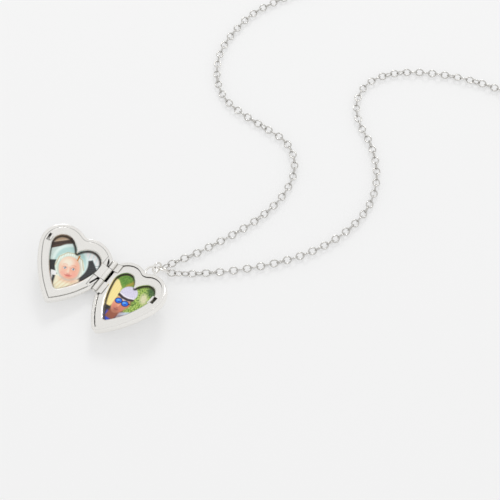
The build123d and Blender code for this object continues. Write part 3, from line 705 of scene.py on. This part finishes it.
def ink_colours(net, edge, side, draw):
    """The picture's colour at each point of the net, with the shade of the well's wall painted in round its edge.
    """
    x = np.array([point.x for point in net]) / MM
    y = np.array([point.y for point in net]) / MM
    canvas = Canvas(x * side, y, "#DDE6E6", GRAIN_SEED + side)
    draw(canvas)
    canvas.colour = np.clip(PRINT_GAIN * canvas.colour ** PRINT_CONTRAST, 0, 1)
    # painted shade: the well's wall shades the print near its cut edge, darkest at the edge
    well_shade = 1 - (edge_distance(x, y, edge) - WINDOW_MARGIN / MM) / WELL_SHADE_W
    canvas.lay(well_shade * WELL_SHADE_FIRMNESS, WELL_SHADE_BROWN, WELL_SHADE_DEPTH)
    return canvas.colour


def picture(name, side, draw, settings):
    """A thin sheet cut to the heart, whose upper face carries the ink."""
    edge = heart_outline()
    net, faces = print_net(edge, settings.dot)
    count, under = len(edge), len(net)
    place = half_to_room(side)
    vertices = [place @ Vector((point.x, point.y, PRINT_TOP)) for point in net]
    vertices += [place @ Vector((point.x, point.y, PRINT_TOP - SHEET_T)) for point in net[:count]]
    walls = [(i, under + i, under + (i + 1) % count, (i + 1) % count) for i in range(count)]
    sheet = [tuple(face) for face in faces] + walls + [tuple(under + i for i in reversed(range(count)))]
    if side < 0:
        sheet = [tuple(reversed(face)) for face in sheet]
    piece = new_piece(name, vertices, sheet, smooth=False)
    ink = piece.data.color_attributes.new("ink", "FLOAT_COLOR", "POINT")
    tones = [*ink_colours(net, edge, side, draw), *[linear(PAPER_WHITE)] * count]
    for point, tone in zip(ink.data, tones):
        point.color = (*tone, 1)
    return piece


class LOCKET_OT_pictures(bpy.types.Operator):
    """Print the two pictures and lay them behind the windows"""
    bl_idname = "locket.pictures"
    bl_label = "Pictures"

    def execute(self, context):
        settings = context.scene.locket_pictures
        paper = glossy_print("resin-coated print paper, glossy", settings.gloss)
        for body, side, draw in (("back", 1, draw_adult), ("cover", -1, draw_baby)):
            piece = picture(f"{body}_picture", side, draw, settings)
            piece.data.materials.append(paper)
            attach(piece, body)
            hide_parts(f"{body}_print")
        return {"FINISHED"}


# ---------------------------------------------------------------- the steel
class LOCKET_OT_steel(bpy.types.Operator):
    """Polish the halves, the hinge, the rings and the clasp"""
    bl_idname = "locket.steel"
    bl_label = "Polished steel"

    def execute(self, context):
        settings = context.scene.locket_steel
        steel = polished_steel("stamped stainless steel, mirror polished", settings.colour,
                               settings.roughness, CORNER_GRIME_AND_SHADE_REACH)
        wire = polished_steel("ring wire, polished", settings.colour, settings.roughness,
                              LINK_GRIME_AND_SHADE_REACH)
        for name in frame["nodes"]:
            if name.startswith(("back_", "cover_", "hinge_", "catch_")) and not name.endswith("_print"):
                paint(name, steel)
            elif name.endswith("_ring") or name.startswith("clasp_"):
                paint(name, wire)
        return {"FINISHED"}


# ---------------------------------------------------------------- settings and panel
class LocketStageSettings(bpy.types.PropertyGroup):
    floor_size: FloatProperty(name="Floor size", description="Side of the square floor", default=2.4,
                              min=0.5, unit="LENGTH")
    floor_colour: FloatVectorProperty(name="Floor colour", description="Colour of the card floor",
                                      default=linear("#F6F6F6"), subtype="COLOR", min=0, max=1)
    room_light: FloatProperty(name="Room light", description="Brightness of the white tent", default=0.86,
                              min=0)
    key_power: FloatProperty(name="Key light", description="Power of the lamp behind the object",
                             default=1.0, min=0, unit="POWER")
    aim: FloatVectorProperty(name="Aim", description="Point that the camera looks at",
                             default=(0.0237, 0.0283, 0.0), subtype="TRANSLATION", unit="LENGTH")
    camera_turn: FloatProperty(name="Turn", description="Angle of the camera about the vertical",
                               default=math.radians(33.44), unit="ROTATION", subtype="ANGLE")
    camera_rise: FloatProperty(name="Rise", description="Angle of the camera above the floor",
                               default=math.radians(61.01), unit="ROTATION", subtype="ANGLE")
    camera_distance: FloatProperty(name="Distance", description="From the camera to the point it looks at",
                                   default=0.30952, min=0.05, unit="LENGTH")
    lens: FloatProperty(name="Lens", description="Focal length in millimetres", default=93.6, min=10)


class LocketChainSettings(bpy.types.PropertyGroup):
    link_length: FloatProperty(name="Link length", description="Outside length of a link", default=2.26 * MM,
                               min=0.5 * MM, unit="LENGTH")
    link_width: FloatProperty(name="Link width", description="Outside width of a link", default=1.90 * MM,
                              min=0.5 * MM, unit="LENGTH")
    wire: FloatProperty(name="Wire", description="Diameter of the link's wire", default=0.32 * MM,
                        min=0.1 * MM, unit="LENGTH")
    roll_spread: FloatProperty(name="Roll spread", description="Spread of the links' roll in degrees",
                               default=8.0, min=0)
    around: IntProperty(name="Steps around", description="Steps around a link", default=20, min=8)
    across: IntProperty(name="Steps across", description="Steps around the wire", default=8, min=5)
    colour: FloatVectorProperty(name="Colour", description="Colour of the chain's steel",
                                default=linear("#CFCDC9"), subtype="COLOR", min=0, max=1)
    roughness: FloatProperty(name="Roughness", description="Roughness of the chain's steel", default=0.14,
                             min=0, max=1)


class LocketSteelSettings(bpy.types.PropertyGroup):
    colour: FloatVectorProperty(name="Colour", description="Colour of the locket's steel",
                                default=linear("#F4F2EE"), subtype="COLOR", min=0, max=1)
    roughness: FloatProperty(name="Roughness", description="Roughness of the locket's steel", default=0.20,
                             min=0, max=1)


class LocketPictureSettings(bpy.types.PropertyGroup):
    dot: FloatProperty(name="Dot", description="Spacing of the print's points of ink", default=0.11 * MM,
                       min=0.05 * MM, unit="LENGTH")
    gloss: FloatProperty(name="Gloss", description="Weight of the print's clear coat", default=0.35, min=0,
                         max=1)


class LOCKET_PT_panel(bpy.types.Panel):
    bl_idname = "LOCKET_PT_panel"
    bl_label = "Locket"
    bl_space_type = "VIEW_3D"
    bl_region_type = "UI"
    bl_category = "Locket"

    def draw(self, context):
        for operator, _ in STEPS:
            self.layout.operator(operator.bl_idname)
        for group, name in SETTINGS:
            for field in group.__annotations__:
                self.layout.prop(getattr(context.scene, name), field)


STEPS = [
    (LOCKET_OT_stage, "stage"),
    (LOCKET_OT_chain, "chain"),
    (LOCKET_OT_pictures, "pictures"),
    (LOCKET_OT_steel, "steel"),
]
SETTINGS = [
    (LocketStageSettings, "locket_stage"),
    (LocketChainSettings, "locket_chain"),
    (LocketPictureSettings, "locket_pictures"),
    (LocketSteelSettings, "locket_steel"),
]
CLASSES = [group for group, _ in SETTINGS] + [operator for operator, _ in STEPS] + [LOCKET_PT_panel]


def register():
    for item in CLASSES:
        bpy.utils.register_class(item)
    for group, name in SETTINGS:
        setattr(bpy.types.Scene, name, PointerProperty(type=group))


def unregister():
    for _, name in SETTINGS:
        delattr(bpy.types.Scene, name)
    for item in reversed(CLASSES):
        bpy.utils.unregister_class(item)


def main():
    register()
    for _, step in STEPS:
        getattr(bpy.ops.locket, step)()


if __name__ == "__main__":
    main()
